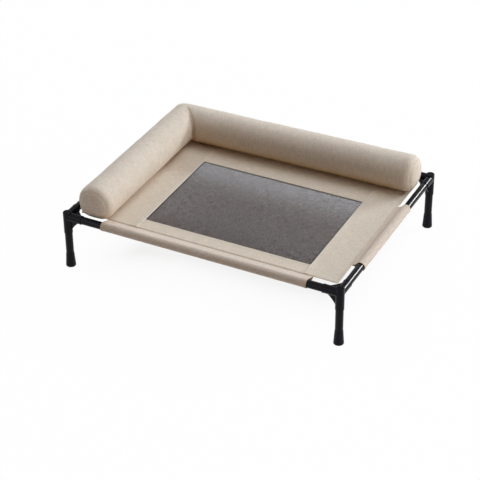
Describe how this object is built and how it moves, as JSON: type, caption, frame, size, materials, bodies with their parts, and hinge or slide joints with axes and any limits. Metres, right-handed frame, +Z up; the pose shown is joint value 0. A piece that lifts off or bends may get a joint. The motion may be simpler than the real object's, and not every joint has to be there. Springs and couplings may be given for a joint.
{
  "type": "raised dog cot",
  "caption": "Raised dog cot: a black tube frame carries a taut canvas deck with a mesh window, edged along the back and one side by a lift-off bolster.",
  "frame": {"origin": "on the floor, under the middle of the rectangle that the corner axes make", "axes": "+X along the long side to the right, +Y towards the side with the long roll, +Z up"},
  "size_m": [0.8516, 0.6566, 0.266],
  "materials": {
    "rail_steel": "gloss black powder coat",
    "leg_steel": "satin black powder coat",
    "connector_plastic": "satin black moulding",
    "foot_plastic": "matt black moulding",
    "deck_canvas": "woven beige canvas",
    "deck_mesh": "woven grey mesh",
    "bolster_cloth": "woven beige canvas",
    "fibre_filling": "loose white fibre",
    "strip_tape": "hook and loop tape"
  },
  "bodies": {
    "frame": {"front_rail": "rail_steel", "rear_rail": "rail_steel", "left_rail": "rail_steel", "right_rail": "rail_steel", "front_left_connector": "connector_plastic", "front_right_connector": "connector_plastic", "rear_left_connector": "connector_plastic", "rear_right_connector": "connector_plastic", "front_left_leg": "leg_steel", "front_right_leg": "leg_steel", "rear_left_leg": "leg_steel", "rear_right_leg": "leg_steel", "front_left_foot": "foot_plastic", "front_right_foot": "foot_plastic", "rear_left_foot": "foot_plastic", "rear_right_foot": "foot_plastic", "left_deck_panel": "deck_canvas", "right_deck_panel": "deck_canvas", "front_deck_panel": "deck_canvas", "rear_deck_panel": "deck_canvas", "mesh_window": "deck_mesh", "front_sleeve": "deck_canvas", "rear_sleeve": "deck_canvas", "left_sleeve": "deck_canvas", "right_sleeve": "deck_canvas", "rear_loop_strip": "strip_tape", "left_loop_strip": "strip_tape"},
    "bolster": {"rear_bolster_cover": "bolster_cloth", "left_bolster_cover": "bolster_cloth", "rear_bolster_end": "bolster_cloth", "left_bolster_end": "bolster_cloth", "bolster_filling": "fibre_filling", "rear_hook_strip": "strip_tape", "left_hook_strip": "strip_tape"}
  },
  "joints": [
    {"name": "bolster_lift", "type": "slide", "parent": "frame", "child": "bolster", "axis": [0, 0, 1], "range_m": [0, 0.15]}
  ]
}
